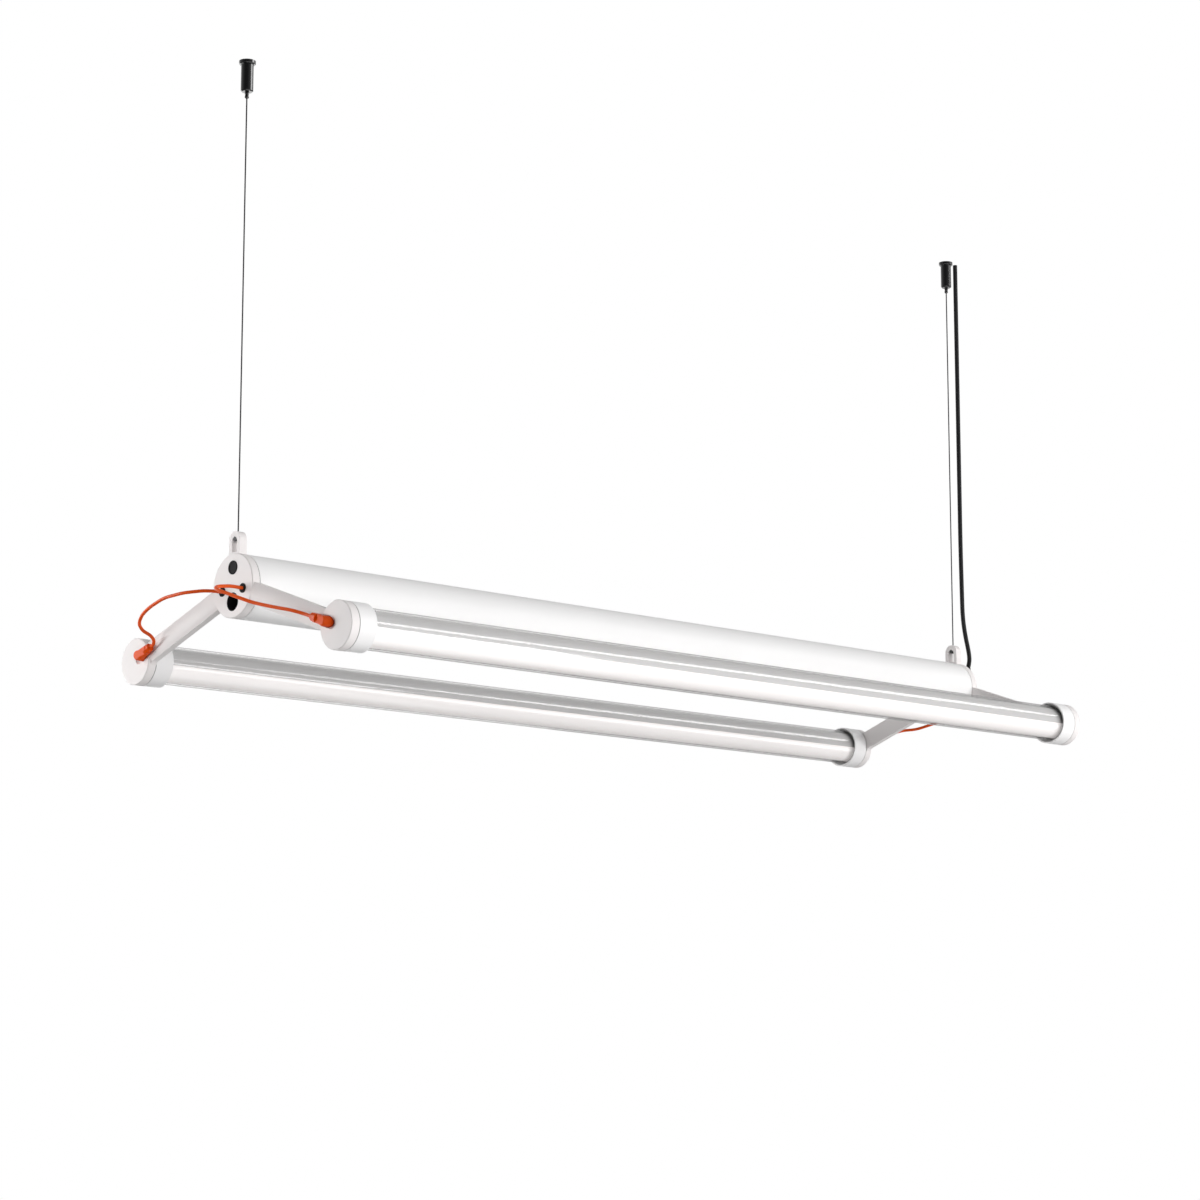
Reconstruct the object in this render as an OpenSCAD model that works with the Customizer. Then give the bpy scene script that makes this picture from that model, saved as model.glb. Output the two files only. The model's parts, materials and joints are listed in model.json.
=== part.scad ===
// Hanging shop light. A round main tube runs between two winged brackets, and a sealed light tube
// hangs from each wing. Two steel cables hold the lamp from ceiling grips, and one cord feeds it.
// The origin is on the ceiling, midway between the two fixings. X runs along the lamp, the front
// light tube lies towards -Y, and Z points up.

/* [Lamp] */
// Length over the outer faces of the two brackets
lamp_l = 1220; // [800:10:1600]
// Height of the ceiling above the main tube's axis
hang_h = 600; // [400:10:1500]
// Sideways distance from the main tube's axis to each light tube's axis
tube_side = 182; // [150:1:240]
// Drop from the main tube's axis to the light tubes' axes
tube_drop = 64.5; // [40:0.5:100]

/* [Main tube] */
// Outer diameter of the main tube and of both hubs
main_d = 72; // [68:0.5:90]
// Wall of the main tube
main_wall = 2.2; // [1.5:0.1:3]

/* [Brackets] */
// Thickness of the hub and of the discs
bracket_t = 10.8; // [10:0.1:14]
// Diameter of the discs, and of the collars behind them
disc_d = 53.5; // [51:0.5:64]
// Width of the arms
arm_w = 23.5; // [18:0.5:28]
// Radius of the arms' crowned outer face
crown_r = 26; // [20:1:60]
// Radius of the fillet below each arm, where it meets the disc
arm_fillet = 9; // [4:0.5:14]
// Radius of the fillet below each arm, where it meets the hub
hub_fillet = 4; // [2:0.5:8]
// Length of the spigot that enters the main tube
spigot_l = 12; // [9:0.5:20]
// Width of the cable lug
lug_w = 19.5; // [15:0.5:24]
// Height of the lug's top above the hub's axis
lug_top = 60.8; // [56:0.2:75]
// Thickness of the lug
lug_t = 9.6; // [7:0.1:10]
// Width of the lug's slot
slot_w = 9; // [8:0.5:12]
// Radius of the upper hole in each hub
port_r = 6.9; // [5:0.1:8]
// Radius of the deep lower hole in each hub
well_r = 10.4; // [9:0.1:11]
// Radius of the holes that the leads leave through
lead_hole_r = 3.6; // [3:0.1:4.5]
// Sideways distance from the hub's axis to each of those holes
lead_hole_y = 18.5; // [17:0.5:24]

/* [Light tubes] */
// Outer diameter of the clear tubes
clear_d = 45.2; // [44:0.2:48]
// Wall of the clear tubes
clear_wall = 2; // [1.5:0.1:3]
// Length of the collars
collar_l = 23.5; // [18:0.5:40]
// Outer radius of the heat sink and of the diffuser
core_r = 19.4; // [17:0.1:19.8]
// Distance between neighbouring light-emitting diodes
led_pitch = 24; // [12:1:60]

/* [Ceiling grips] */
// Diameter of the flange against the ceiling
flange_d = 19; // [16:0.5:30]
// Thickness of that flange
flange_t = 4; // [2:0.5:6]
// Radius of the stud hole through the flange
stud_hole_r = 4; // [3:0.1:4.4]
// Diameter of the grip's barrel
barrel_d = 14.2; // [13:0.1:18]
// Distance from the ceiling down to the barrel's lower end
barrel_bottom = 36; // [34:0.5:50]
// Diameter of the release nipple
nipple_d = 4.8; // [4.2:0.1:5]
// Length of the nipple below the barrel
nipple_l = 7.5; // [6:0.5:12]
// Diameter of the steel cables
cable_d = 1.6; // [1:0.1:2]
// Diameter of the cross barrel on each cable's lower end
end_d = 5; // [4:0.1:7]

/* [Leads and cord] */
// Diameter of the orange leads
lead_d = 3.9; // [2:0.1:3.9]
// Diameter of the power cord
cord_d = 6; // [5:0.1:7]
// Distance from a disc's centre to its plug, along the arm
plug_s = 15; // [13:0.5:15.5]
// Radius of the plug's head where it meets its seal
plug_r = 6.2; // [5.5:0.1:6.5]
// Height of the plug above the disc's face
plug_h = 9.3; // [8.5:0.1:12]
// Distance from the plug's head to the end of its tail
tail_l = 21.7; // [19:0.1:26]

/* [Hidden] */
$fn = 64;

// Sides and rows, so that a call reads as left(-1) or right(1), front(-1) or rear(1)
left = -1;
right = 1;
front = -1;
rear = 1;

// Clearances: a push fit, a running fit, and the gap that keeps two faces from being tangent
fit_gap = 0.05;
run_gap = 0.08;
tangent_gap = 0.1;
// How far a cut runs past the face that it opens
past = 1;
// Chamfer of the brackets' outer edges
edge = 0.8;
// Width and depth of the shadow joints round the ends of the tubes
joint_w = 0.8;
joint_d = 1.2;

// Lengths worked out from the sizes above
main_r = main_d / 2;
bore_r = main_r - main_wall;
disc_r = disc_d / 2;
clear_r = clear_d / 2;
clear_bore = clear_r - clear_wall;
inner_l = lamp_l - 2 * bracket_t;
arm_l = sqrt(tube_side * tube_side + tube_drop * tube_drop);
arm_angle = atan(tube_drop / tube_side);
arm_edge_t = bracket_t - tangent_gap - crown_r + sqrt(crown_r * crown_r - arm_w * arm_w / 4);

// Cable lug: where the cable runs, the slot's ends and the seat of the cable's cross barrel
cable_in = 6;
grip_x = lamp_l / 2 - cable_in;
lug_set_back = bracket_t - lug_t;
lug_root = 8;
slot_bottom = main_r + 1.5;
slot_top = lug_top - 6.4;
end_r = end_d / 2;
end_l = lug_t - 2 * tangent_gap;
end_x = -lug_set_back - lug_t / 2;
end_z = slot_top + 0.3 - end_r;
seat_gap = 0.02;
cable_r = cable_d / 2;
cable_hole_r = cable_r + 0.3;

// Hub: the upper port, and the deep well for the bracket's bolt
port_z = 20;
well_z = -18;
lead_hole_z = -5;
well_wall = 2;
well_floor = 3;
well_l = spigot_l + bracket_t - well_floor;
spigot_r = bore_r - fit_gap;
spigot_wall = 5.2;
spigot_bore = spigot_r - spigot_wall;
ring_wire_r = 1.3;
ring_groove = 2 * ring_wire_r + 0.2;
bolt_hole_r = 3.2;
socket_key_r = 2.9;
socket_key_l = 3;
sleeve_wall = 1.1;
sleeve_floor = 1.2;
sleeve_set_back = 0.2;
bolt_r = 3;
bolt_head_r = 5;
bolt_head_l = 6;
bolt_l = 14;
rim_r = port_r + 0.8;
blank_rim_t = 0.9;
blank_dish = 0.6;
blank_rim_w = 1.3;
blank_wall = 2;
blank_web = 3;
wing_overlap = 4;
grommet_rim_r = lead_hole_r + 1.7;
grommet_rim_t = 0.9;

// Gear tray inside the main tube
tray_z = -8;
tray_t = 1.5;
tray_half = sqrt((bore_r - 0.3) * (bore_r - 0.3) - tray_z * tray_z);
tray_lip = 5;
tray_flange_t = 3;
tray_end = inner_l / 2 - spigot_l;
flange_low = well_z - bolt_head_r - 2;
tray_flange_w = 24;
screw_r = 1.7;
driver_w = 40;
driver_h = 24;
driver_l = 260;
driver_x = 180;
case_chamfer = 4;
ear_l = 8;
ear_t = 2;
block_x = 400;
block_l = 48;
block_w = 22;
block_h = 16;
block_ways = 5;
wire_hole_r = 1.8;
clamp_hole_r = 2.2;
clamp_hole_l = 6;

// Light tube core, as heights and angles in its cross-section
end_spigot_l = 8;
end_spigot_r = clear_bore - 0.1;
core_l = inner_l - 2 * end_spigot_l;
sink_wall = 1.8;
rail_angle = 9;
lip_angle = -6;
rail_z = core_r * sin(rail_angle);
lip_z = core_r * sin(lip_angle);
rail_step = 0.6;
rail_t = 3.6;
web_z = 3;
web_t = 2.4;
fin_t = 1.2;
fin_step = 5.2;
fins = floor((core_r - sink_wall) * 0.8 / fin_step);
board_w = 26;
board_t = 1.6;
led_w = 3;
led_t = 0.8;
diffuser_wall = 1.6;
ledge_r = core_r - diffuser_wall - fit_gap;
ledge_t = 1;
ledge_l = 3;
seal_l = 4.5;
seal_in = 2.5;
mouth_r = clear_r + 2.6;

// Plug, its seal and its socket, in the disc's own frame
socket_flange_r = plug_r + 0.6;
socket_flange_low = -5.6;
socket_top = -3.8;
socket_r = 4.7;
socket_bore = 3.7;
socket_low = -bracket_t - end_spigot_l + 2;
seal_top = -3.3;
nose_axis_z = 3.4;
tail_axis_z = 4.1;
tail_r = 5.3;
plug_spigot_r = socket_bore - fit_gap;
plug_spigot_low = -9.5;
trough_r = 7.6;
trough_start = plug_s - 7;
trough_end = 66;
trough_z1 = 3.85;
trough_z2 = 7.6;

// Ceiling grip, as heights below the ceiling
flange_r = flange_d / 2;
barrel_r = barrel_d / 2;
neck_r = barrel_r - 1.25;
neck_l = 6;
chamber_r = neck_r - 0.3;
chamber_top = flange_t + neck_l;
cage_top = chamber_top + 7;
cone_top = cage_top + 3;
cone_bottom = cone_top + 11;
cone_slope = 0.15;
grip_ball_r = 1.5;
grip_ball_z = cage_top + 8;
grip_ring_r = cable_r + grip_ball_r + tangent_gap;
cone_r = grip_ring_r + (grip_ball_r + tangent_gap) * sqrt(1 + cone_slope * cone_slope);
nipple_r = nipple_d / 2;
nipple_bore = cable_r + 0.4;
nipple_neck_r = nipple_r - 0.3;
nipple_bottom = barrel_bottom + nipple_l;
cage_r = nipple_r + 0.55;
cage_low = grip_ball_z + 3;
cage_flange_r = chamber_r - 0.3;
cage_flange_t = 1.5;
barrel_chamfer = 1.2;
spring_wire_r = 0.45;
spring_r = chamber_r - 0.55 - spring_wire_r;
spring_turns = 3;
cable_tail = chamber_top + 2;

// Power cord, from inside the far hub to the ceiling: distance out of the hub's face and height
// above the hub's axis. The last point follows the hanging height.
boot_bend_r = 26;
boot_angle = 60;
boot_rings = 7;
boot_r = cord_d / 2 + 0.9;
boot_flange_t = 2;
boot_ring_r = cord_d / 2 + 3;
boot_ring_t = 2;
boot_ring_step = 0.25;
cord_route = [
    [-8, 0, 20], [2, 0, 20], [9, 0, 21], [15, 0, 23.5], [20.5, 0, 27.5], [24.5, 0, 33],
    [27, 0, 39.5], [28, 0, 46], [27, 0, 54], [25, 0, 62], [22, 0, 72], [19.5, 0, 82],
    [17, 0, 95], [15.5, 0, 110], [15, 0, 130], [14.5, 0, 160], [14, 0, 200], [14, 0, hang_h]
];

// Leads: distance out of the face, sideways and up. The first points are measured from the hub's
// axis, the second ones from the disc's centre. The far rear lead hangs lower than the near one.
front_lead_hub = [
    [-6, -18.5, -5], [5, -18.5, -5], [12.5, -17, -4.5], [23, -17, -5.5], [32, -17, -7],
    [37.5, -20.5, -9.5], [39.5, -27.5, -13], [35.5, -40, -18], [30.5, -54.5, -24]
];
front_lead_disc = [
    [24.5, 112, 34.5], [18, 86.5, 27.5], [11, 60, 21], [6, 47, 16.5], [4.1, 34.6, 12.3]
];
near_rear_lead_hub = [
    [-6, 18.5, -5], [4, 18.5, -5], [12, 20.5, -5], [20, 26.5, -5], [26, 35, -5.5],
    [31, 47, -6], [33.5, 62, -7], [34.5, 79.5, -8.5], [34, 96, -12]
];
near_rear_lead_disc = [
    [32.5, -70, 48.5], [29.5, -53, 42], [26, -44.5, 34.5], [21, -44, 28.5], [12.5, -47, 23],
    [7, -45.5, 18.5], [4.5, -41, 14.5], [4.1, -34.6, 12.3]
];
far_rear_lead_hub = [
    [-6, 18.5, -5], [5, 18.5, -5], [16, 18.5, -6], [27, 20.5, -10], [35.5, 28.5, -17.5],
    [38.5, 42, -26], [37, 58, -33]
];
far_rear_lead_disc = [
    [33, -103.5, 26.5], [28.5, -83.5, 22.5], [22.5, -66, 21.5], [15, -53, 18.5], [8, -43, 15],
    [4.1, -34.6, 12.3]
];

// Places the children at an end of the lamp: origin at the hub's centre on the outer face,
// +X outwards
module at_end(side)
    translate([side * lamp_l / 2, 0, -hang_h])
        mirror([side < 0 ? 1 : 0, 0, 0])
            children();

// Places the children on a disc: +X along the arm towards the hub, +Z out of the face
module on_disc(side, row)
    at_end(side)
        mirror([0, row < 0 ? 1 : 0, 0])
            translate([0, tube_side, -tube_drop])
                rotate([-90 - arm_angle, 0, 0])
                    rotate([0, 90, 0])
                        children();

// Places the children at a ceiling grip
module at_grip(side)
    translate([side * grip_x, 0, 0])
        children();

// Places the children on a light tube's axis, midway along it
module on_tube(row)
    translate([0, row * tube_side, -hang_h - tube_drop])
        children();

// Repeats the children at all four discs
module all_discs()
    for (side = [left, right], row = [front, rear])
        on_disc(side, row)
            children();

// Extrudes an outline of the YZ plane from x1 to x2
module along_x(x1, x2)
    translate([x1, 0, 0])
        rotate([90, 0, 90])
            linear_extrude(x2 - x1)
                children();

// A cylinder along X from x1 to x2
module rod_x(r, x1, x2)
    translate([x1, 0, 0])
        rotate([0, 90, 0])
            cylinder(r = r, h = x2 - x1);

// A plate of radius r from height z1 to z2 with its upper edge chamfered
module chamfered_plate(r, z1, z2) {
    translate([0, 0, z1])
        cylinder(r = r, h = z2 - z1 - edge);
    translate([0, 0, z2 - edge])
        cylinder(r1 = r, r2 = r - edge, h = edge);
}

// Direction of a line
function unit(v) = v / norm(v);

// Direction of a route at each of its points
function route_directions(p) = [
    for (i = [0 : len(p) - 1])
        unit(p[min(i + 1, len(p) - 1)] - p[max(i - 1, 0)])
];

// One side direction for each point, carried along without twist
function carried_sides(t, n, i = 0) =
    i == len(t) ? [] : let (m = unit(n - (n * t[i]) * t[i])) concat([m], carried_sides(t, m, i + 1));

// A round tube along a route
module swept_tube(p, r, sides) {
    t = route_directions(p);
    n = carried_sides(t, cross(t[0], [0.31, 0.57, 0.76]));
    rings = [
        for (i = [0 : len(p) - 1], k = [0 : sides - 1])
            let (a = 360 * k / sides)
                p[i] + r * (cos(a) * n[i] + sin(a) * cross(t[i], n[i]))
    ];
    last = (len(p) - 1) * sides;
    walls = [
        for (i = [0 : len(p) - 2], k = [0 : sides - 1])
            let (a = i * sides + k, b = i * sides + (k + 1) % sides)
                each [[a, a + sides, b], [b, a + sides, b + sides]]
    ];
    caps = [
        for (k = [1 : sides - 2])
            each [[0, k, k + 1], [last, last + k + 1, last + k]]
    ];
    polyhedron(rings, concat(walls, caps));
}

// Cap that holds the grip against the ceiling: a flange, and a neck that screws into the barrel
module ceiling_cap(side)
    color("#151515")
        at_grip(side)
            difference() {
                union() {
                    translate([0, 0, -flange_t + edge])
                        cylinder(r = flange_r, h = flange_t - edge);
                    translate([0, 0, -flange_t])
                        cylinder(r1 = flange_r - edge, r2 = flange_r, h = edge);
                    translate([0, 0, -chamber_top])
                        cylinder(r = neck_r, h = neck_l + edge);
                }
                translate([0, 0, -chamber_top - past])
                    cylinder(r = stud_hole_r, h = chamber_top + 2 * past);
            }

// Barrel of the grip: a spring chamber above a cone that narrows downwards
module gripper_barrel(side) {
    cone_lift = (grip_ball_z - cone_top) * cone_slope;
    cone_drop = (cone_bottom - grip_ball_z) * cone_slope;
    color("#1a1a1a")
        at_grip(side)
            rotate_extrude()
                polygon([
                    [neck_r + fit_gap, -flange_t],
                    [barrel_r, -flange_t],
                    [barrel_r, -barrel_bottom + barrel_chamfer],
                    [barrel_r - barrel_chamfer, -barrel_bottom],
                    [nipple_r + run_gap, -barrel_bottom],
                    [nipple_r + run_gap, -cone_bottom],
                    [cone_r - cone_drop, -cone_bottom],
                    [cone_r + cone_lift, -cone_top],
                    [chamber_r, -cone_top],
                    [chamber_r, -chamber_top],
                    [neck_r + fit_gap, -chamber_top]
                ]);
}

// Spring that pushes the cage and its balls down into the cone
module grip_spring(side) {
    top = chamber_top + spring_wire_r;
    drop = cage_top - spring_wire_r - top;
    steps = spring_turns * 10;
    color("#9a9a9a")
        at_grip(side)
            swept_tube([
                for (i = [0 : steps])
                    let (a = 360 * spring_turns * i / steps)
                        [spring_r * cos(a), spring_r * sin(a), -top - drop * i / steps]
            ], spring_wire_r, 6);
}

// Release plunger: the ball cage inside the barrel and the nipple that shows below it
module plunger(side)
    color("#101010")
        at_grip(side)
            difference() {
                rotate_extrude()
                    polygon([
                        [nipple_bore, -cage_top],
                        [nipple_bore, -nipple_bottom],
                        [nipple_r - 0.5, -nipple_bottom],
                        [nipple_r - 0.1, -nipple_bottom + 0.4],
                        [nipple_r, -nipple_bottom + 1],
                        [nipple_r, -nipple_bottom + 2.4],
                        [nipple_neck_r, -nipple_bottom + 3],
                        [nipple_neck_r, -nipple_bottom + 4],
                        [nipple_r, -nipple_bottom + 4.6],
                        [nipple_r, -cage_low],
                        [cage_r, -cage_low + 0.5],
                        [cage_r, -cage_top - cage_flange_t],
                        [cage_flange_r, -cage_top - cage_flange_t],
                        [cage_flange_r, -cage_top]
                    ]);
                for (a = [0 : 120 : 240])
                    rotate([0, 0, a])
                        translate([0, 0, -grip_ball_z])
                            rod_x(grip_ball_r + fit_gap, 0, cage_r + past);
            }

// The three balls that wedge the cable in the cone
module grip_balls(side)
    color("#b8b8b8")
        at_grip(side)
            for (a = [0 : 120 : 240])
                rotate([0, 0, a])
                    translate([grip_ring_r, 0, -grip_ball_z])
                        sphere(r = grip_ball_r);

// Steel cable from the cross barrel in the lug up into the grip
module cable(side)
    color("#2a2a2a")
        at_grip(side)
            translate([0, 0, -hang_h + end_z - end_r])
                cylinder(r = cable_r, h = hang_h - end_z + end_r - cable_tail);

// Cross barrel pressed onto the cable's end, seated under the lug's arch
module cable_end(side)
    color("#202020")
        at_end(side)
            translate([0, 0, end_z])
                difference() {
                    rod_x(end_r, end_x - end_l / 2, end_x + end_l / 2);
                    translate([-cable_in, 0, -end_r - past])
                        cylinder(r = cable_r, h = 2 * (end_r + past));
                }

// Main tube between the brackets
module main_tube()
    color("#f4f4f4")
        translate([0, 0, -hang_h])
            difference() {
                rod_x(main_r, -inner_l / 2, inner_l / 2);
                rod_x(bore_r, -inner_l / 2 - past, inner_l / 2 + past);
            }

// Hub of a bracket: a plate with a grooved spigot, and a closed well for the bolt
module hub_solid() {
    groove_x = -bracket_t - spigot_l / 2;
    difference() {
        union() {
            rod_x(main_r - joint_d, -bracket_t, -edge);
            rod_x(main_r, -bracket_t + joint_w, -edge);
            translate([-edge, 0, 0])
                rotate([0, 90, 0])
                    cylinder(r1 = main_r, r2 = main_r - edge, h = edge);
            difference() {
                rod_x(spigot_r, -bracket_t - spigot_l, -bracket_t);
                rod_x(spigot_bore, -bracket_t - spigot_l - past, -bracket_t);
                difference() {
                    rod_x(spigot_r + past, groove_x - ring_groove / 2, groove_x + ring_groove / 2);
                    rod_x(bore_r - 2 * ring_wire_r, groove_x - ring_groove, groove_x + ring_groove);
                }
            }
            translate([0, 0, well_z])
                rod_x(well_r + well_wall, -bracket_t - spigot_l, -bracket_t);
        }
        translate([0, 0, well_z])
            rod_x(well_r, -well_l, past);
        translate([0, 0, well_z])
            rod_x(bolt_hole_r, -bracket_t - spigot_l - past, past);
        translate([0, 0, port_z])
            rod_x(port_r, -bracket_t - past, past);
        for (y = [-lead_hole_y, lead_hole_y])
            translate([0, y, lead_hole_z])
                rod_x(lead_hole_r, -bracket_t - past, past);
    }
}

// Lug on top of the hub: an arch round a slot, with a seat for the cable's cross barrel and a hole
// for the cable
module lug_solid()
    difference() {
        along_x(-bracket_t, -lug_set_back)
            difference() {
                union() {
                    translate([-lug_w / 2, main_r - lug_root])
                        square([lug_w, lug_top - lug_w / 2 - main_r + lug_root]);
                    translate([0, lug_top - lug_w / 2])
                        circle(r = lug_w / 2);
                }
                translate([-slot_w / 2, slot_bottom])
                    square([slot_w, slot_top - slot_w / 2 - slot_bottom]);
                translate([0, slot_top - slot_w / 2])
                    circle(r = slot_w / 2);
            }
        translate([0, 0, end_z])
            rod_x(end_r + seat_gap, -bracket_t - past, past);
        translate([-cable_in, 0, end_z])
            cylinder(r = cable_hole_r, h = lug_top);
    }

// One wing of a bracket in its disc's frame: the crowned arm, its fillet and the disc with its
// spigot and the plug's socket hole
module wing_solid()
    difference() {
        union() {
            intersection() {
                translate([0, -arm_w / 2, -bracket_t])
                    cube([arm_l, arm_w, bracket_t]);
                translate([0, 0, -tangent_gap - crown_r])
                    rod_x(crown_r, -past, arm_l + past);
            }
            translate([0, 0, -bracket_t])
                linear_extrude(arm_edge_t) {
                    fillet_outline(disc_r, arm_fillet);
                    translate([arm_l, 0])
                        mirror([1, 0])
                            fillet_outline(main_r, hub_fillet);
                }
            chamfered_plate(disc_r, -bracket_t, 0);
            translate([0, 0, -bracket_t - end_spigot_l])
                cylinder(r = end_spigot_r, h = end_spigot_l + past);
        }
        translate([plug_s, 0, -bracket_t - past])
            cylinder(r = socket_r + fit_gap, h = bracket_t + 2 * past);
        translate([plug_s - socket_r - fit_gap, -socket_r - fit_gap, -bracket_t - end_spigot_l - past])
            cube([disc_r, 2 * (socket_r + fit_gap), end_spigot_l + past]);
        translate([plug_s, 0, socket_flange_low])
            cylinder(r = socket_flange_r + fit_gap, h = bracket_t);
        plug_trough();
    }

// Outline of the fillet between an arm's lower side and a round plate of radius r at the origin
module fillet_outline(r, fillet) {
    y = arm_w / 2 + fillet - tangent_gap;
    x = sqrt(pow(r + fillet - tangent_gap, 2) - pow(y, 2));
    difference() {
        polygon([[0, 0], [x, 0], [x, y]]);
        translate([x, y])
            circle(r = fillet);
    }
}

// Trough in the face that the plug and its lead lie in
module plug_trough() {
    run = trough_end - trough_start;
    tilt = atan((trough_z2 - trough_z1) / run);
    translate([trough_start, 0, trough_z1]) {
        sphere(r = trough_r + tangent_gap);
        rotate([0, 90 - tilt, 0])
            cylinder(r = trough_r, h = run);
    }
}

// Bracket that carries one end of all three tubes
module bracket(side)
    color("#eeeeee")
        union() {
            at_end(side) {
                hub_solid();
                lug_solid();
            }
            for (row = [front, rear])
                difference() {
                    on_disc(side, row)
                        wing_solid();
                    at_end(side)
                        rod_x(main_r - wing_overlap, -bracket_t - past, past);
                }
        }

// Sealing rings in the spigots' grooves
module bracket_seals()
    color("#262626")
        for (side = [left, right])
            at_end(side)
                translate([-bracket_t - spigot_l / 2, 0, 0])
                    rotate([0, 90, 0])
                        rotate_extrude()
                            translate([bore_r - ring_wire_r - fit_gap, 0])
                                circle(r = ring_wire_r - fit_gap, $fn = 24);

// Black liners of the two deep wells
module well_sleeves()
    color("#0c0c0c")
        for (side = [left, right])
            at_end(side)
                translate([0, 0, well_z])
                    difference() {
                        rod_x(well_r - fit_gap, -well_l, -sleeve_set_back);
                        rod_x(well_r - sleeve_wall, -well_l + sleeve_floor, past);
                        rod_x(bolt_hole_r, -well_l - past, past);
                    }

// Bolts that draw the brackets onto the gear tray
module bracket_bolts()
    color("#8c8c8c")
        for (side = [left, right])
            at_end(side)
                translate([-well_l + sleeve_floor, 0, well_z])
                    difference() {
                        union() {
                            rod_x(bolt_head_r, 0, bolt_head_l);
                            rod_x(bolt_r, -bolt_l, past);
                        }
                        translate([bolt_head_l - socket_key_l, 0, 0])
                            rotate([0, 90, 0])
                                cylinder(r = socket_key_r, h = socket_key_l + past, $fn = 6);
                    }

// Tray that holds the drivers, with a tapped flange for the bolt at each end
module gear_tray()
    color("#c9ccce")
        translate([0, 0, -hang_h])
            difference() {
                union() {
                    translate([-tray_end, -tray_half, tray_z])
                        cube([2 * tray_end, 2 * tray_half, tray_t]);
                    for (y = [-tray_half, tray_half - tray_t])
                        translate([-tray_end, y, tray_z])
                            cube([2 * tray_end, tray_t, tray_lip]);
                    for (side = [left, right])
                        translate([side * (tray_end - tray_flange_t / 2), 0, 0])
                            along_x(-tray_flange_t / 2, tray_flange_t / 2)
                                translate([-tray_flange_w / 2, flange_low])
                                    square([tray_flange_w, tray_z + tray_t - flange_low]);
                }
                for (side = [left, right])
                    translate([side * tray_end, 0, well_z])
                        rod_x(bolt_r + fit_gap, -tray_flange_t - past, tray_flange_t + past);
                for (x = [-driver_x, driver_x], end = [-1, 1])
                    translate([x + end * (driver_l / 2 + ear_l / 2), 0, tray_z - past])
                        cylinder(r = screw_r, h = tray_t + 2 * past);
            }

// Electronic driver in its case, with a screw ear at each end
module driver(x)
    color("#dcdcdc")
        translate([x, 0, -hang_h + tray_z + tray_t])
            difference() {
                union() {
                    along_x(-driver_l / 2, driver_l / 2)
                        polygon([
                            [-driver_w / 2, 0], [driver_w / 2, 0],
                            [driver_w / 2, driver_h - case_chamfer],
                            [driver_w / 2 - case_chamfer, driver_h],
                            [-driver_w / 2 + case_chamfer, driver_h],
                            [-driver_w / 2, driver_h - case_chamfer]
                        ]);
                    translate([-driver_l / 2 - ear_l, -driver_w / 4, 0])
                        cube([driver_l + 2 * ear_l, driver_w / 2, ear_t]);
                }
                for (end = [-1, 1])
                    translate([end * (driver_l / 2 + ear_l / 2), 0, -past])
                        cylinder(r = screw_r, h = ear_t + 2 * past);
            }

// Terminal block for the incoming cord
module terminal_block()
    color("#d8d2c4")
        translate([block_x, 0, -hang_h + tray_z + tray_t])
            difference() {
                translate([-block_l / 2, -block_w / 2, 0])
                    cube([block_l, block_w, block_h]);
                for (i = [1 : block_ways])
                    translate([(i - (block_ways + 1) / 2) * block_l / block_ways, 0, 0]) {
                        for (y = [-block_w / 4, block_w / 4])
                            translate([0, y, block_h - clamp_hole_l])
                                cylinder(r = clamp_hole_r, h = clamp_hole_l + past);
                        translate([0, block_w / 2 + past, block_h / 3])
                            rotate([90, 0, 0])
                                cylinder(r = wire_hole_r, h = block_w + 2 * past);
                    }
            }

// Blanking plug of the near hub's upper hole: a dished face inside a rim
module blank_plug()
    color("#1c1c1c")
        at_end(left)
            translate([0, 0, port_z])
                difference() {
                    union() {
                        rod_x(port_r - fit_gap, -bracket_t, 0);
                        rod_x(rim_r, 0, blank_rim_t);
                    }
                    rod_x(rim_r - blank_rim_w, blank_rim_t - blank_dish, past);
                    rod_x(port_r - blank_wall, -bracket_t - past, -blank_web);
                }

// Bend relief on the far hub: a gland in the upper hole and a ribbed, tapering boot that turns up
module cord_boot()
    color("#161616")
        at_end(right)
            translate([0, 0, port_z])
                difference() {
                    union() {
                        rod_x(port_r - fit_gap, -bracket_t, 0);
                        rod_x(rim_r, 0, boot_flange_t);
                        boot_bend()
                            rotate_extrude(angle = boot_angle)
                                translate([boot_bend_r, 0])
                                    circle(r = boot_r);
                        for (i = [1 : boot_rings])
                            boot_bend()
                                rotate([0, 0, boot_angle * i / (boot_rings + 0.5)])
                                    translate([boot_bend_r, 0, 0])
                                        rotate([90, 0, 0])
                                            cylinder(r = boot_ring_r - boot_ring_step * i,
                                                     h = boot_ring_t, center = true);
                    }
                    rod_x(cord_d / 2, -bracket_t - past, boot_flange_t);
                    boot_bend()
                        rotate_extrude(angle = boot_angle + 2)
                            translate([boot_bend_r, 0])
                                circle(r = cord_d / 2);
                }

// Frame of the boot's bend: the arc starts at the hub's face and turns up
module boot_bend()
    translate([boot_flange_t, 0, boot_bend_r])
        rotate([90, 0, 0])
            rotate([0, 0, -90])
                children();

// Power cord up to the ceiling
module power_cord()
    color("#111111")
        at_end(right)
            swept_tube(cord_route, cord_d / 2, 12);

// Grommets round the leads, with a flange on the face
module lead_grommets()
    color("#141414")
        for (side = [left, right], row = [front, rear])
            at_end(side)
                translate([0, row * lead_hole_y, lead_hole_z])
                    difference() {
                        union() {
                            rod_x(lead_hole_r - fit_gap, -bracket_t, 0);
                            rod_x(grommet_rim_r, 0, grommet_rim_t);
                            rod_x(lead_hole_r + 0.6, -bracket_t - 1, -bracket_t);
                        }
                        rod_x(lead_d / 2 + fit_gap, -bracket_t - 2, past);
                    }

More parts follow.
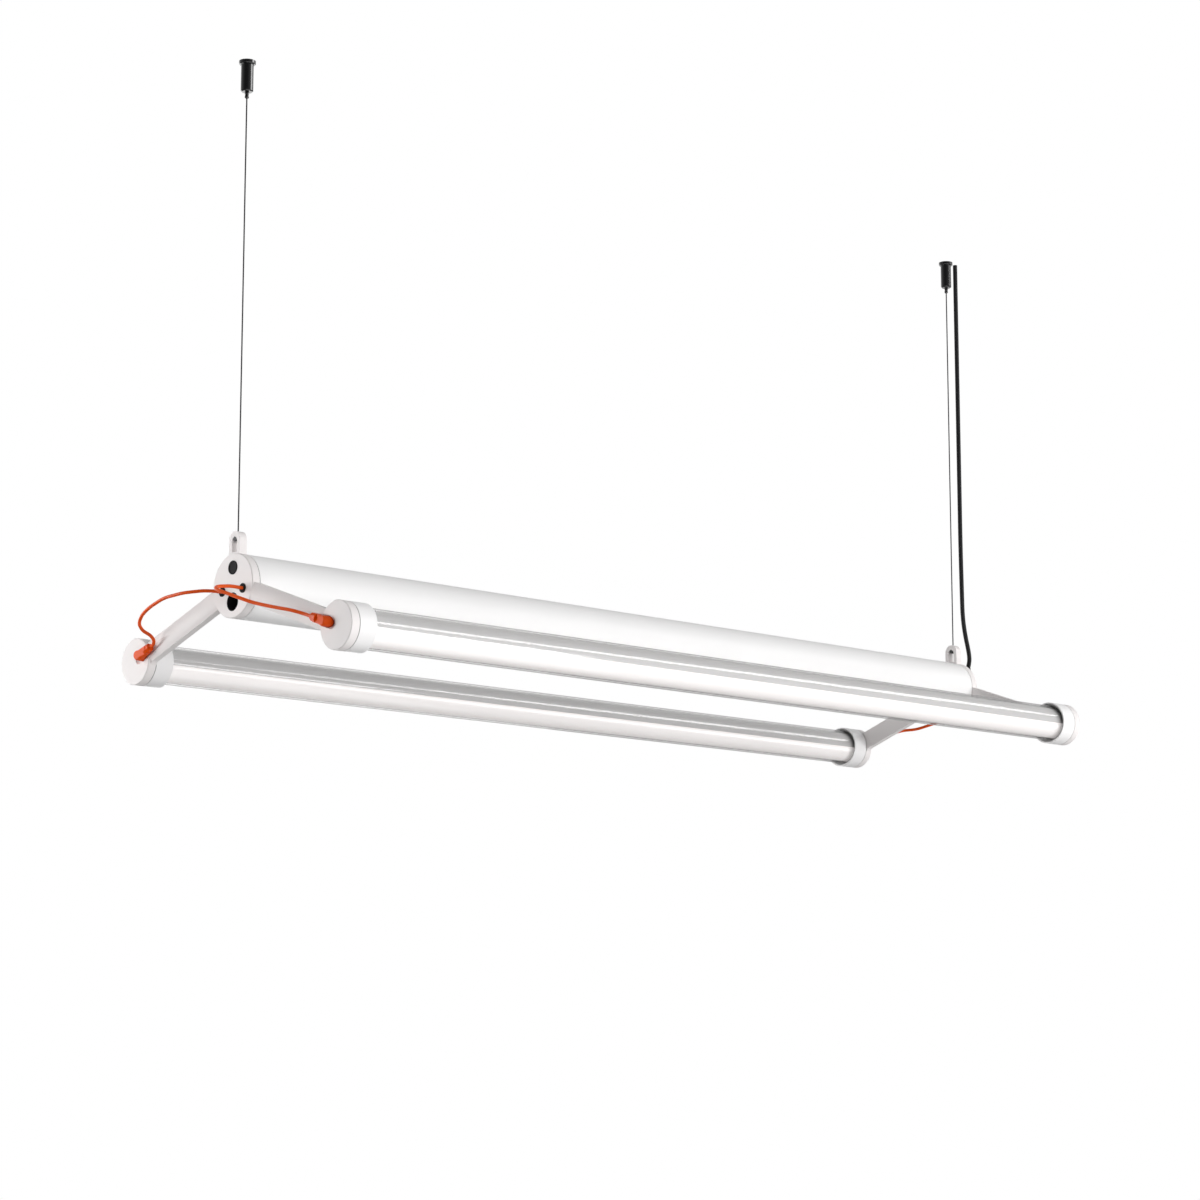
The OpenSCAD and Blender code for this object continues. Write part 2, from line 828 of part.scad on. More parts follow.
// Clear tube round a light
module clear_tube(row)
    color("#e8f2f4", 0.35)
        on_tube(row)
            difference() {
                rod_x(clear_r, -inner_l / 2, inner_l / 2);
                rod_x(clear_bore, -inner_l / 2 - past, inner_l / 2 + past);
            }

// Heat sink: an extruded half shell with a web across it, fins above the web, and a rail along each
// side with a ledge that the diffuser's edge hooks over
module heat_sink(row)
    color("#d5d7d8")
        on_tube(row)
            along_x(-core_l / 2, core_l / 2) {
                ring_above(core_r, core_r - sink_wall, lip_z);
                difference() {
                    ring_above(core_r + rail_step, core_r - rail_t, lip_z);
                    translate([-2 * core_r, rail_z])
                        square([4 * core_r, 2 * core_r]);
                }
                difference() {
                    ring_above(ledge_r, ledge_r - ledge_t, lip_z - ledge_l);
                    translate([-2 * core_r, rail_z])
                        square([4 * core_r, 2 * core_r]);
                }
                intersection() {
                    circle(r = core_r - sink_wall / 2);
                    union() {
                        translate([-core_r, web_z])
                            square([2 * core_r, web_t]);
                        for (i = [-fins : fins])
                            translate([i * fin_step - fin_t / 2, web_z])
                                square([fin_t, core_r]);
                    }
                }
            }

// Outline of a ring from radius r2 to r1 above height z
module ring_above(r1, r2, z)
    difference() {
        circle(r = r1);
        circle(r = r2);
        translate([-2 * r1, z - 4 * r1])
            square([4 * r1, 4 * r1]);
    }

// Circuit board under the heat sink's web
module led_board(row)
    color("#f2f2ee")
        on_tube(row)
            translate([-core_l / 2 + 4, -board_w / 2, web_z - board_t])
                cube([core_l - 8, board_w, board_t]);

// Row of light-emitting diodes under the board
module leds(row) {
    count = floor((core_l - 40) / led_pitch);
    color("#f3dc72")
        on_tube(row)
            for (i = [0 : count])
                translate([(i - count / 2) * led_pitch, 0, web_z - board_t - led_t / 2])
                    cube([led_w, led_w, led_t], center = true);
}

// Opal diffuser closing the lower half
module diffuser(row)
    color("#ffffff")
        on_tube(row)
            along_x(-core_l / 2, core_l / 2)
                difference() {
                    circle(r = core_r);
                    circle(r = core_r - diffuser_wall);
                    translate([-2 * core_r, lip_z - fit_gap])
                        square([4 * core_r, 4 * core_r]);
                }

// Collar between a disc and its clear tube, open at the mouth for the seal
module collar(side, row)
    color("#f6f6f6")
        on_disc(side, row)
            translate([0, 0, -bracket_t - collar_l])
                difference() {
                    union() {
                        cylinder(r = disc_r, h = collar_l - joint_w);
                        cylinder(r = disc_r - joint_d, h = collar_l);
                    }
                    translate([0, 0, -past])
                        cylinder(r = clear_r + fit_gap, h = collar_l + 2 * past);
                    translate([0, 0, -past])
                        cylinder(r = mouth_r, h = seal_in + seal_l + past);
                }

// Rubber rings between the collars and the clear tubes
module tube_seals()
    color("#4a4a4a")
        all_discs()
            translate([0, 0, -bracket_t - collar_l + seal_in])
                difference() {
                    cylinder(r = mouth_r - fit_gap, h = seal_l);
                    translate([0, 0, -past])
                        cylinder(r = clear_r + fit_gap, h = seal_l + 2 * past);
                }

// Sockets through the discs, with four contact pins each
module plug_sockets()
    color("#0e0e0e")
        all_discs()
            translate([plug_s, 0, 0]) {
                difference() {
                    union() {
                        translate([0, 0, socket_flange_low])
                            cylinder(r = socket_flange_r, h = socket_top - socket_flange_low);
                        translate([0, 0, socket_low])
                            cylinder(r = socket_r, h = socket_top - socket_low);
                    }
                    translate([0, 0, plug_spigot_low - 0.5])
                        cylinder(r = socket_bore, h = bracket_t);
                }
                contacts(0.5, plug_spigot_low - 1, plug_spigot_low + 4);
            }

// Four contacts on a circle, from height z1 to z2
module contacts(r, z1, z2)
    for (a = [45 : 90 : 315])
        rotate([0, 0, a])
            translate([2.1, 0, z1])
                cylinder(r = r, h = z2 - z1, $fn = 16);

// Seals under the plugs
module plug_seals()
    color("#080808")
        all_discs()
            translate([plug_s, 0, socket_top])
                difference() {
                    cylinder(r = socket_flange_r - 0.1, h = seal_top - socket_top);
                    translate([0, 0, -past])
                        cylinder(r = socket_bore, h = bracket_t);
                }

// Right-angle plug: a round head over the socket, a barrel along the arm with a flat thumb facet,
// and a stepped octagonal tail round the lead
module plug(side, row) {
    facet_tilt = 9;
    step_l = 4.4;
    color("#e8501c")
        on_disc(side, row)
            translate([plug_s, 0, 0])
                difference() {
                    union() {
                        difference() {
                            union() {
                                plug_head();
                                translate([0, 0, nose_axis_z])
                                    rotate([0, 90 - atan((tail_axis_z - nose_axis_z) / tail_l), 0])
                                        cylinder(r1 = plug_r - 0.2, r2 = tail_r,
                                                 h = tail_l - 2 * step_l + 0.5);
                            }
                            translate([-4, -plug_h, plug_h - 0.1])
                                rotate([0, facet_tilt, 0])
                                    cube([2 * tail_l, 2 * plug_h, plug_h]);
                        }
                        translate([tail_l - 2 * step_l, 0, tail_axis_z])
                            rotate([22.5, 0, 0])
                                rotate([0, 90, 0])
                                    cylinder(r = tail_r + 0.1, h = step_l, $fn = 8);
                        translate([tail_l - step_l, 0, tail_axis_z])
                            rotate([22.5, 0, 0])
                                rotate([0, 90, 0])
                                    cylinder(r = tail_r - 0.6, h = step_l, $fn = 8);
                        translate([0, 0, plug_spigot_low])
                            cylinder(r = plug_spigot_r, h = seal_top + 2 - plug_spigot_low);
                    }
                    contacts(0.6, plug_spigot_low - past, plug_spigot_low + 5);
                }
}

// Round head of the plug, drawn in towards its top
module plug_head()
    rotate_extrude()
        polygon([
            [0, seal_top],
            [plug_r, seal_top],
            [plug_r - 0.2, plug_h * 0.45],
            [plug_r - 0.6, plug_h * 0.75],
            [plug_r - 1.3, plug_h * 0.92],
            [plug_r - 2.2, plug_h],
            [0, plug_h]
        ]);

// Lead from the hub to a plug
module lead(side, row) {
    disc = [0, row * tube_side, -tube_drop];
    rear_hub = side == left ? near_rear_lead_hub : far_rear_lead_hub;
    rear_disc = side == left ? near_rear_lead_disc : far_rear_lead_disc;
    hub_part = row == front ? front_lead_hub : rear_hub;
    disc_part = row == front ? front_lead_disc : rear_disc;
    color("#e8561f")
        at_end(side)
            swept_tube(concat(hub_part, [for (p = disc_part) p + disc]), lead_d / 2, 8);
}

ceiling_cap(left);  // left_ceiling_cap
ceiling_cap(right);  // right_ceiling_cap
gripper_barrel(left);  // left_gripper_barrel
gripper_barrel(right);  // right_gripper_barrel
grip_spring(left);  // left_grip_spring
grip_spring(right);  // right_grip_spring
plunger(left);  // left_plunger
plunger(right);  // right_plunger
grip_balls(left);  // left_grip_balls
grip_balls(right);  // right_grip_balls
cable(left);  // left_cable
cable(right);  // right_cable
cable_end(left);  // left_cable_end
cable_end(right);  // right_cable_end
main_tube();
bracket(left);  // left_bracket
bracket(right);  // right_bracket
bracket_seals();
well_sleeves();
bracket_bolts();
gear_tray();
driver(-driver_x);  // front_driver
driver(driver_x);  // rear_driver
terminal_block();
blank_plug();
cord_boot();
power_cord();
lead_grommets();
clear_tube(front);  // front_clear_tube
clear_tube(rear);  // rear_clear_tube
heat_sink(front);  // front_heat_sink
heat_sink(rear);  // rear_heat_sink
led_board(front);  // front_led_board
led_board(rear);  // rear_led_board
leds(front);  // front_leds
leds(rear);  // rear_leds
diffuser(front);  // front_diffuser
diffuser(rear);  // rear_diffuser
collar(left, front);  // left_front_collar
collar(left, rear);  // left_rear_collar
collar(right, front);  // right_front_collar
collar(right, rear);  // right_rear_collar
tube_seals();
plug_sockets();
plug_seals();
plug(left, front);  // left_front_plug
plug(left, rear);  // left_rear_plug
plug(right, front);  // right_front_plug
plug(right, rear);  // right_rear_plug
lead(left, front);  // left_front_lead
lead(left, rear);  // left_rear_lead
lead(right, front);  // right_front_lead
lead(right, rear);  // right_rear_lead
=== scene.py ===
"""Looks of the hanging shop light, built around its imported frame.

Metres, with the origin on the ceiling plane midway between the two fixings: X runs along the lamp,
the front light tube lies towards -Y, and Z points up.
"""
import json
import math

import bmesh
import bpy
from mathutils import Matrix, Vector


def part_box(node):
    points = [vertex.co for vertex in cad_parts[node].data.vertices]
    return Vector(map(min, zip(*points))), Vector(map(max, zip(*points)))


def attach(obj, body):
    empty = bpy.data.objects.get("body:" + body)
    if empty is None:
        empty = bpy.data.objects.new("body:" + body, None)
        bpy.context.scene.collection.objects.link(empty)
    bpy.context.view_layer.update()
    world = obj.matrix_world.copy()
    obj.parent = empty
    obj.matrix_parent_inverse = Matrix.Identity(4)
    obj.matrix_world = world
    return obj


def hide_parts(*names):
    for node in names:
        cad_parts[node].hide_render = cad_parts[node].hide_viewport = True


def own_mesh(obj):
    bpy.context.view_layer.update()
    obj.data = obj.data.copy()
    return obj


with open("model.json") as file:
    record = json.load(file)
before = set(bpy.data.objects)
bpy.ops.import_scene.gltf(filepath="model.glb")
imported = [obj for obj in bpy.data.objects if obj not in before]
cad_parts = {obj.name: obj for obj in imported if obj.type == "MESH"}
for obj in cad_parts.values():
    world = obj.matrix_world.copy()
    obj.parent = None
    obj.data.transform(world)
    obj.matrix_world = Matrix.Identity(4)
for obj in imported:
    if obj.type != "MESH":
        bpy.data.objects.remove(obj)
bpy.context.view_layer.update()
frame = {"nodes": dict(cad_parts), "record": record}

scene = bpy.context.scene
MM = 0.001

# ---------------------------------------------------------------- camera

CAMERA_AT = Vector((-2.59146, -2.68398, -1.17256))
CAMERA_AIM = Vector((0.67694, 0.71714, 0.16571)).normalized()
FOCAL_MM = 92.25

camera_data = bpy.data.cameras.new("camera")
camera_data.lens = FOCAL_MM
camera_data.sensor_width = 36
camera_data.clip_start = 0.1
camera_data.clip_end = 60
camera = bpy.data.objects.new("camera", camera_data)
scene.collection.objects.link(camera)
side_axis = CAMERA_AIM.cross(Vector((0, 0, 1))).normalized()
up_axis = side_axis.cross(CAMERA_AIM).normalized()
camera.matrix_world = Matrix((
    (side_axis.x, up_axis.x, -CAMERA_AIM.x, CAMERA_AT.x),
    (side_axis.y, up_axis.y, -CAMERA_AIM.y, CAMERA_AT.y),
    (side_axis.z, up_axis.z, -CAMERA_AIM.z, CAMERA_AT.z),
    (0, 0, 0, 1),
))
scene.camera = camera

# ---------------------------------------------------------------- materials


# A noise texture's values lie mostly in this range
NOISE_RANGE = (0.25, 0.75)
# Height of a surface's grain, in metres
GRAIN_DEPTH = 0.0002
# The Mix node gives its colour sockets the names of its other sockets, so they go by number
MIX_A, MIX_B, MIX_RESULT = 6, 7, 2


def node_of(tree, kind, **values):
    """A new node, with values for its inputs or, where no input has the name, its settings."""
    made = tree.nodes.new(kind)
    for key, value in values.items():
        if key in made.inputs:
            made.inputs[key].default_value = value
        else:
            setattr(made, key, value)
    return made


def ranged(tree, source, low, high, source_low=0.0, source_high=1.0):
    """The source's range, spread over low to high."""
    spread = node_of(tree, "ShaderNodeMapRange")
    spread.inputs["From Min"].default_value = source_low
    spread.inputs["From Max"].default_value = source_high
    spread.inputs["To Min"].default_value = low
    spread.inputs["To Max"].default_value = high
    tree.links.new(source, spread.inputs["Value"])
    return spread.outputs["Result"]


def ramped(tree, source, *stops):
    """The source through a colour ramp with these stops, each a position and a colour."""
    ramp = node_of(tree, "ShaderNodeValToRGB")
    elements = ramp.color_ramp.elements
    first, *between, last = stops
    for element, (position, colour) in zip(elements, (first, last)):
        element.position = position
        element.color = (*colour, 1)
    for position, colour in between:
        elements.new(position).color = (*colour, 1)
    tree.links.new(source, ramp.inputs["Fac"])
    return ramp.outputs["Color"]


def surface(name, colour, rough, *, vary=0.04, blotch=9.0, grain=900.0, bump=0.04,
            stretch=(1, 1, 1), rough_vary=0.06, metallic=0.0, glow=0.0, specular=0.5, dust=0.0):
    """A painted, moulded or drawn surface.

    Its colour drifts a little, its gloss drifts with the colour, and it has a fine grain in height.
    """
    made = bpy.data.materials.new(name)
    made.use_nodes = True
    tree = made.node_tree
    shader = tree.nodes["Principled BSDF"]
    shader.inputs["Metallic"].default_value = metallic
    shader.inputs["Specular IOR Level"].default_value = specular
    place = node_of(tree, "ShaderNodeTexCoord")
    scaled = node_of(tree, "ShaderNodeMapping")
    scaled.inputs["Scale"].default_value = stretch
    tree.links.new(place.outputs["Object"], scaled.inputs["Vector"])
    broad = node_of(tree, "ShaderNodeTexNoise", Scale=blotch, Detail=4.0, Roughness=0.55)
    fine = node_of(tree, "ShaderNodeTexNoise", Scale=grain, Detail=3.0, Roughness=0.6)
    for noise in (broad, fine):
        tree.links.new(scaled.outputs["Vector"], noise.inputs["Vector"])
    darker = [c * (1 - vary) for c in colour]
    lighter = [min(1.0, c * (1 + vary)) for c in colour]
    colour_out = ramped(tree, broad.outputs["Fac"], (0.3, darker), (0.7, lighter))
    if dust:
        specks = node_of(tree, "ShaderNodeTexNoise", Scale=grain * 0.35, Detail=2.0, Roughness=0.5)
        tree.links.new(scaled.outputs["Vector"], specks.inputs["Vector"])
        mixed = node_of(tree, "ShaderNodeMix", data_type="RGBA", blend_type="MULTIPLY")
        mixed.inputs["Factor"].default_value = 1.0
        shade = ramped(tree, specks.outputs["Fac"], (0.3, [1 - dust] * 3), (0.46, [1] * 3))
        tree.links.new(colour_out, mixed.inputs[MIX_A])
        tree.links.new(shade, mixed.inputs[MIX_B])
        colour_out = mixed.outputs[MIX_RESULT]
    tree.links.new(colour_out, shader.inputs["Base Color"])
    if glow:
        tree.links.new(colour_out, shader.inputs["Emission Color"])
        shader.inputs["Emission Strength"].default_value = glow
    rough_out = ranged(tree, broad.outputs["Fac"], max(0.02, rough - rough_vary),
                       rough + rough_vary, *NOISE_RANGE)
    tree.links.new(rough_out, shader.inputs["Roughness"])
    relief = node_of(tree, "ShaderNodeBump", Strength=bump, Distance=GRAIN_DEPTH)
    tree.links.new(fine.outputs["Fac"], relief.inputs["Height"])
    tree.links.new(relief.outputs["Normal"], shader.inputs["Normal"])
    return made


def stranded(made, strands, lay):
    """Winds strands into the surface of a vertical wire cable, one turn in each lay."""
    tree = made.node_tree
    place = node_of(tree, "ShaderNodeTexCoord")
    across = node_of(tree, "ShaderNodeSeparateXYZ")
    along = node_of(tree, "ShaderNodeSeparateXYZ")
    tree.links.new(place.outputs["Generated"], across.inputs["Vector"])
    tree.links.new(place.outputs["Object"], along.inputs["Vector"])
    centred = []
    for axis in "XY":
        offset = node_of(tree, "ShaderNodeMath", operation="SUBTRACT")
        offset.inputs[1].default_value = 0.5
        tree.links.new(across.outputs[axis], offset.inputs[0])
        centred.append(offset)
    angle = node_of(tree, "ShaderNodeMath", operation="ARCTAN2")
    tree.links.new(centred[1].outputs["Value"], angle.inputs[0])
    tree.links.new(centred[0].outputs["Value"], angle.inputs[1])
    turned = node_of(tree, "ShaderNodeMath", operation="MULTIPLY_ADD")
    turned.inputs[1].default_value = 2 * math.pi / lay
    tree.links.new(along.outputs["Z"], turned.inputs[0])
    tree.links.new(angle.outputs["Value"], turned.inputs[2])
    phase = node_of(tree, "ShaderNodeMath", operation="MULTIPLY")
    phase.inputs[1].default_value = strands / 2
    tree.links.new(turned.outputs["Value"], phase.inputs[0])
    wave = node_of(tree, "ShaderNodeMath", operation="SINE")
    tree.links.new(phase.outputs["Value"], wave.inputs[0])
    crown = node_of(tree, "ShaderNodeMath", operation="ABSOLUTE")
    tree.links.new(wave.outputs["Value"], crown.inputs[0])
    shader = tree.nodes["Principled BSDF"]
    grain = shader.inputs["Normal"].links[0].from_socket
    relief = node_of(tree, "ShaderNodeBump", Strength=0.8, Distance=0.00012)
    tree.links.new(crown.outputs["Value"], relief.inputs["Height"])
    tree.links.new(grain, relief.inputs["Normal"])
    tree.links.new(relief.outputs["Normal"], shader.inputs["Normal"])
    return made


def clear_surface(name):
    """Clear extruded plastic: see-through, with faint draw lines in its gloss."""
    made = bpy.data.materials.new(name)
    made.use_nodes = True
    tree = made.node_tree
    tree.nodes.remove(tree.nodes["Principled BSDF"])
    out = tree.nodes["Material Output"]
    place = node_of(tree, "ShaderNodeTexCoord")
    scaled = node_of(tree, "ShaderNodeMapping")
    scaled.inputs["Scale"].default_value = (2, 90, 90)
    tree.links.new(place.outputs["Object"], scaled.inputs["Vector"])
    lines = node_of(tree, "ShaderNodeTexNoise", Scale=6.0, Detail=3.0, Roughness=0.5)
    tree.links.new(scaled.outputs["Vector"], lines.inputs["Vector"])
    relief = node_of(tree, "ShaderNodeBump", Strength=0.02, Distance=0.0001)
    tree.links.new(lines.outputs["Fac"], relief.inputs["Height"])
    through = node_of(tree, "ShaderNodeBsdfTransparent")
    gloss = node_of(tree, "ShaderNodeBsdfGlossy")
    gloss.inputs["Color"].default_value = (1, 1, 1, 1)
    rough = ranged(tree, lines.outputs["Fac"], 0.06, 0.1, *NOISE_RANGE)
    tree.links.new(rough, gloss.inputs["Roughness"])
    tree.links.new(relief.outputs["Normal"], gloss.inputs["Normal"])
    facing = node_of(tree, "ShaderNodeLayerWeight", Blend=0.5)
    tree.links.new(relief.outputs["Normal"], facing.inputs["Normal"])
    # The way through the wall grows longer towards the tube's edges and darkens a little with it;
    # the strong darkening at the very edge is painted shade for the tube's dark rim
    wall_and_rim_shade = ramped(tree, facing.outputs["Facing"], (0.3, (0.99, 0.988, 0.987)),
                   (0.68, (0.965, 0.962, 0.96)), (0.88, (0.45, 0.445, 0.445)))
    tree.links.new(wall_and_rim_shade, through.inputs["Color"])
    # Schlick's rise of reflection towards grazing, the same from inside and outside the wall
    fifth = node_of(tree, "ShaderNodeMath", operation="POWER")
    fifth.inputs[1].default_value = 5.0
    tree.links.new(facing.outputs["Facing"], fifth.inputs[0])
    mixed = node_of(tree, "ShaderNodeMixShader")
    tree.links.new(ranged(tree, fifth.outputs["Value"], 0.04, 0.5), mixed.inputs["Fac"])
    tree.links.new(through.outputs["BSDF"], mixed.inputs[1])
    tree.links.new(gloss.outputs["BSDF"], mixed.inputs[2])
    tree.links.new(mixed.outputs["Shader"], out.inputs["Surface"])
    return made


FINISHES = {
    "grip_black": surface("grip_black", (0.006, 0.006, 0.0065), 0.16, vary=0.25, bump=0.04,
                          specular=0.8, rough_vary=0.04),
    "spring_steel": surface("spring_steel", (0.55, 0.55, 0.56), 0.3, metallic=1.0, grain=3000.0),
    "ball_steel": surface("ball_steel", (0.7, 0.7, 0.71), 0.12, metallic=1.0, grain=2500.0,
                          rough_vary=0.04),
    "cable_steel": stranded(surface("cable_steel", (0.03, 0.03, 0.032), 0.4, vary=0.3,
                                    metallic=0.5, grain=4000.0, blotch=60.0, bump=0.1),
                            strands=12, lay=0.014),
    "tube_white": surface("tube_white", (0.895, 0.888, 0.886), 0.42, vary=0.012, bump=0.05,
                          grain=1100.0, rough_vary=0.03, specular=0.35),
    "bracket_white": surface("bracket_white", (0.835, 0.8, 0.793), 0.5, vary=0.015, bump=0.1,
                             grain=1500.0, rough_vary=0.05),
    "seal_rubber": surface("seal_rubber", (0.012, 0.012, 0.012), 0.7, vary=0.3, bump=0.12,
                           grain=2000.0, dust=0.3, specular=0.08),
    "well_black": surface("well_black", (0.014, 0.014, 0.015), 0.6, vary=0.25, bump=0.08,
                          grain=1600.0, specular=0.08),
    "bolt_steel": surface("bolt_steel", (0.3, 0.3, 0.31), 0.35, vary=0.15, metallic=1.0,
                          grain=2500.0, blotch=200.0),
    "tray_steel": surface("tray_steel", (0.62, 0.63, 0.64), 0.4, vary=0.16, metallic=1.0,
                          blotch=60.0, grain=700.0, rough_vary=0.12),
    "driver_case": surface("driver_case", (0.8, 0.8, 0.79), 0.5, vary=0.02, bump=0.08),
    "terminal_plastic": surface("terminal_plastic", (0.66, 0.62, 0.5), 0.42, vary=0.05),
    "cord_black": surface("cord_black", (0.013, 0.013, 0.014), 0.46, vary=0.3, bump=0.1,
                          grain=1800.0, specular=0.15),
    "clear_plastic": clear_surface("clear_plastic"),
    "heat_sink_metal": surface("heat_sink_metal", (0.6, 0.595, 0.595), 0.5, vary=0.04,
                               metallic=0.15, specular=0.3, stretch=(0.02, 1, 1), blotch=400.0,
                               grain=1500.0, bump=0.2, rough_vary=0.08),
    "board_white": surface("board_white", (0.84, 0.84, 0.82), 0.4, vary=0.02),
    "led_yellow": surface("led_yellow", (0.86, 0.7, 0.22), 0.3, vary=0.08, glow=0.4),
    # The opal's glow is the lit tube's own light, set high enough to also paint light into the
    # diffuser's shaded underside
    "diffuser_opal": surface("diffuser_opal", (0.88, 0.855, 0.848), 0.45, vary=0.01, glow=0.3,
                             stretch=(0.1, 1, 1), bump=0.03),
    "collar_white": surface("collar_white", (0.89, 0.88, 0.88), 0.36, vary=0.012, bump=0.05,
                            grain=1300.0),
    "ring_rubber": surface("ring_rubber", (0.3, 0.3, 0.3), 0.6, vary=0.2, bump=0.1),
    "plug_orange": surface("plug_orange", (0.78, 0.085, 0.006), 0.3, vary=0.06, bump=0.06,
                           grain=1400.0, specular=0.12),
    "lead_orange": surface("lead_orange", (0.78, 0.09, 0.007), 0.4, vary=0.06, bump=0.06,
                           grain=1800.0, specular=0.2),
}

for part in frame["record"]["subparts"]:
    piece = frame["nodes"][part["node"]]
    piece.data.materials.clear()
    piece.data.materials.append(FINISHES[part["material_slot"]])

# ---------------------------------------------------------------- cords and leads

# Millimetres, as in the part's source
LAMP_L = 1220
HANG_H = 600
TUBE_SIDE = 182
TUBE_DROP = 64.5
SIDES = {"left": -1, "right": 1}
ROWS = {"front": -1, "rear": 1}
# Metres
LEAD_D = 0.0039
CORD_D = 0.006

# Routes in millimetres: distance out of the hub's face, sideways, and height above the hub's axis
CORD_ROUTE = [
    (-8, 0, 20), (2, 0, 20), (9, 0, 21), (15, 0, 23.5), (20.5, 0, 27.5), (24.5, 0, 33),
    (27, 0, 39.5), (28, 0, 46), (27, 0, 54), (25, 0, 62), (22, 0, 72), (19.5, 0, 82),
    (17, 0, 95), (15.5, 0, 110), (15, 0, 130), (14.5, 0, 160), (14, 0, 200), (14, 0, 300),
    (14, 0, 400), (14, 0, 500), (14, 0, 600),
]
# Leads, by end and row: the first list is measured from the hub, the second from the disc's centre
FRONT_LEAD = (
    [(-6, -18.5, -5), (5, -18.5, -5), (12.5, -17, -4.5), (23, -17, -5.5), (32, -17, -7),
     (37.5, -20.5, -9.5), (39.5, -27.5, -13), (35.5, -40, -18), (30.5, -54.5, -24)],
    [(24.5, 112, 34.5), (18, 86.5, 27.5), (11, 60, 21), (6, 47, 16.5), (4.1, 34.6, 12.3)],
)
LEADS = {
    ("left", "front"): FRONT_LEAD,
    ("right", "front"): FRONT_LEAD,
    ("left", "rear"): (
        [(-6, 18.5, -5), (4, 18.5, -5), (12, 20.5, -5), (20, 26.5, -5), (26, 35, -5.5),
         (31, 47, -6), (33.5, 62, -7), (34.5, 79.5, -8.5), (34, 96, -12)],
        [(32.5, -70, 48.5), (29.5, -53, 42), (26, -44.5, 34.5), (21, -44, 28.5), (12.5, -47, 23),
         (7, -45.5, 18.5), (4.5, -41, 14.5), (4.1, -34.6, 12.3)],
    ),
    ("right", "rear"): (
        [(-6, 18.5, -5), (5, 18.5, -5), (16, 18.5, -6), (27, 20.5, -10), (35.5, 28.5, -17.5),
         (38.5, 42, -26), (37, 58, -33)],
        [(33, -103.5, 26.5), (28.5, -83.5, 22.5), (22.5, -66, 21.5), (15, -53, 18.5),
         (8, -43, 15), (4.1, -34.6, 12.3)],
    ),
}


def end_point(side, out, sideways, up):
    """A point given from the middle of a hub's face in millimetres, in the shared frame."""
    return Vector((side * (LAMP_L / 2 + out), sideways, up - HANG_H)) * MM


def smooth_route(points, steps=8):
    """A curve through the points that keeps to their line, with steps points in each stretch."""
    ends = [2 * points[0] - points[1], *points, 2 * points[-1] - points[-2]]
    line = []
    for a, b, c, d in zip(ends, ends[1:], ends[2:], ends[3:]):
        t1 = math.sqrt((b - a).length)
        t2 = t1 + math.sqrt((c - b).length)
        t3 = t2 + math.sqrt((d - c).length)
        for i in range(steps):
            t = t1 + (t2 - t1) * i / steps
            ab = a.lerp(b, t / t1)
            bc = b.lerp(c, (t - t1) / (t2 - t1))
            cd = c.lerp(d, (t - t2) / (t3 - t2))
            abc = ab.lerp(bc, t / t2)
            bcd = bc.lerp(cd, (t - t1) / (t3 - t1))
            line.append(abc.lerp(bcd, (t - t1) / (t2 - t1)))
    return line + [points[-1]]


def round_cord(name, line, diameter, finish, node):
    """A round jacket along a line, in place of its CAD node."""
    data = bpy.data.curves.new(name, "CURVE")
    data.dimensions = "3D"
    data.bevel_depth = diameter / 2
    data.bevel_resolution = 6
    data.use_fill_caps = True
    spline = data.splines.new("POLY")
    spline.points.add(len(line) - 1)
    for held, point in zip(spline.points, line):
        held.co = (*point, 1)
    made = bpy.data.objects.new(name, data)
    scene.collection.objects.link(made)
    data.materials.append(FINISHES[finish])
    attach(made, "lamp")
    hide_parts(node)
    return made


cord_line = smooth_route([end_point(1, *p) for p in CORD_ROUTE])
cord = round_cord("power_cord_jacket", cord_line, CORD_D, "cord_black", "power_cord")

for side_name, side in SIDES.items():
    for row_name, row in ROWS.items():
        disc = Vector((0, row * TUBE_SIDE, -TUBE_DROP))
        hub_part, disc_part = LEADS[side_name, row_name]
        route = [Vector(p) for p in hub_part] + [Vector(p) + disc for p in disc_part]
        line = smooth_route([end_point(side, *p) for p in route])
        stem = f"{side_name}_{row_name}"
        lead = round_cord(f"{stem}_lead_jacket", line, LEAD_D, "lead_orange", f"{stem}_lead")

# ---------------------------------------------------------------- joint gaskets and painted shade

# Metres: the joint's groove, as in the part's source, and how far the dark ring's edge lies in it
GROOVE_W = 0.0008
GROOVE_D = 0.0012
GASKET_SUNK = 0.0004
GASKET_ROUNDING = 0.0001
GROOVE_GAP = 0.00001
GASKET_STEPS = 128


def joint_gasket_and_shade(name, face, outward, centre, radius):
    """A dark ring at the bottom of a joint's groove, around an axis along X: partly a seal in the
    joint, partly painted shade of the deep gap.
    """
    data = bpy.data.meshes.new(name)
    shape = bmesh.new()
    low = radius - GROOVE_D + GROOVE_GAP
    high = radius - GASKET_SUNK
    shoulder = high - GASKET_ROUNDING
    # Shares of the groove's width, and radii
    profile = [(0.02, low), (0.02, shoulder), (0.25, high), (0.75, high), (0.98, shoulder),
               (0.98, low)]
    turns = [2 * math.pi * i / GASKET_STEPS for i in range(GASKET_STEPS)]
    rings = []
    for share, r in profile:
        x = face + outward * share * GROOVE_W
        rings.append([shape.verts.new((x, centre[0] + r * math.cos(turn),
                                       centre[1] + r * math.sin(turn))) for turn in turns])
    for a, b in zip(rings, rings[1:] + rings[:1]):
        for i in range(GASKET_STEPS):
            j = (i + 1) % GASKET_STEPS
            shape.faces.new((a[i], a[j], b[j], b[i]))
    bmesh.ops.recalc_face_normals(shape, faces=shape.faces)
    shape.to_mesh(data)
    shape.free()
    data.polygons.foreach_set("use_smooth", [True] * len(data.polygons))
    data.materials.append(FINISHES["seal_rubber"])
    made = bpy.data.objects.new(name, data)
    scene.collection.objects.link(made)
    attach(made, "lamp")


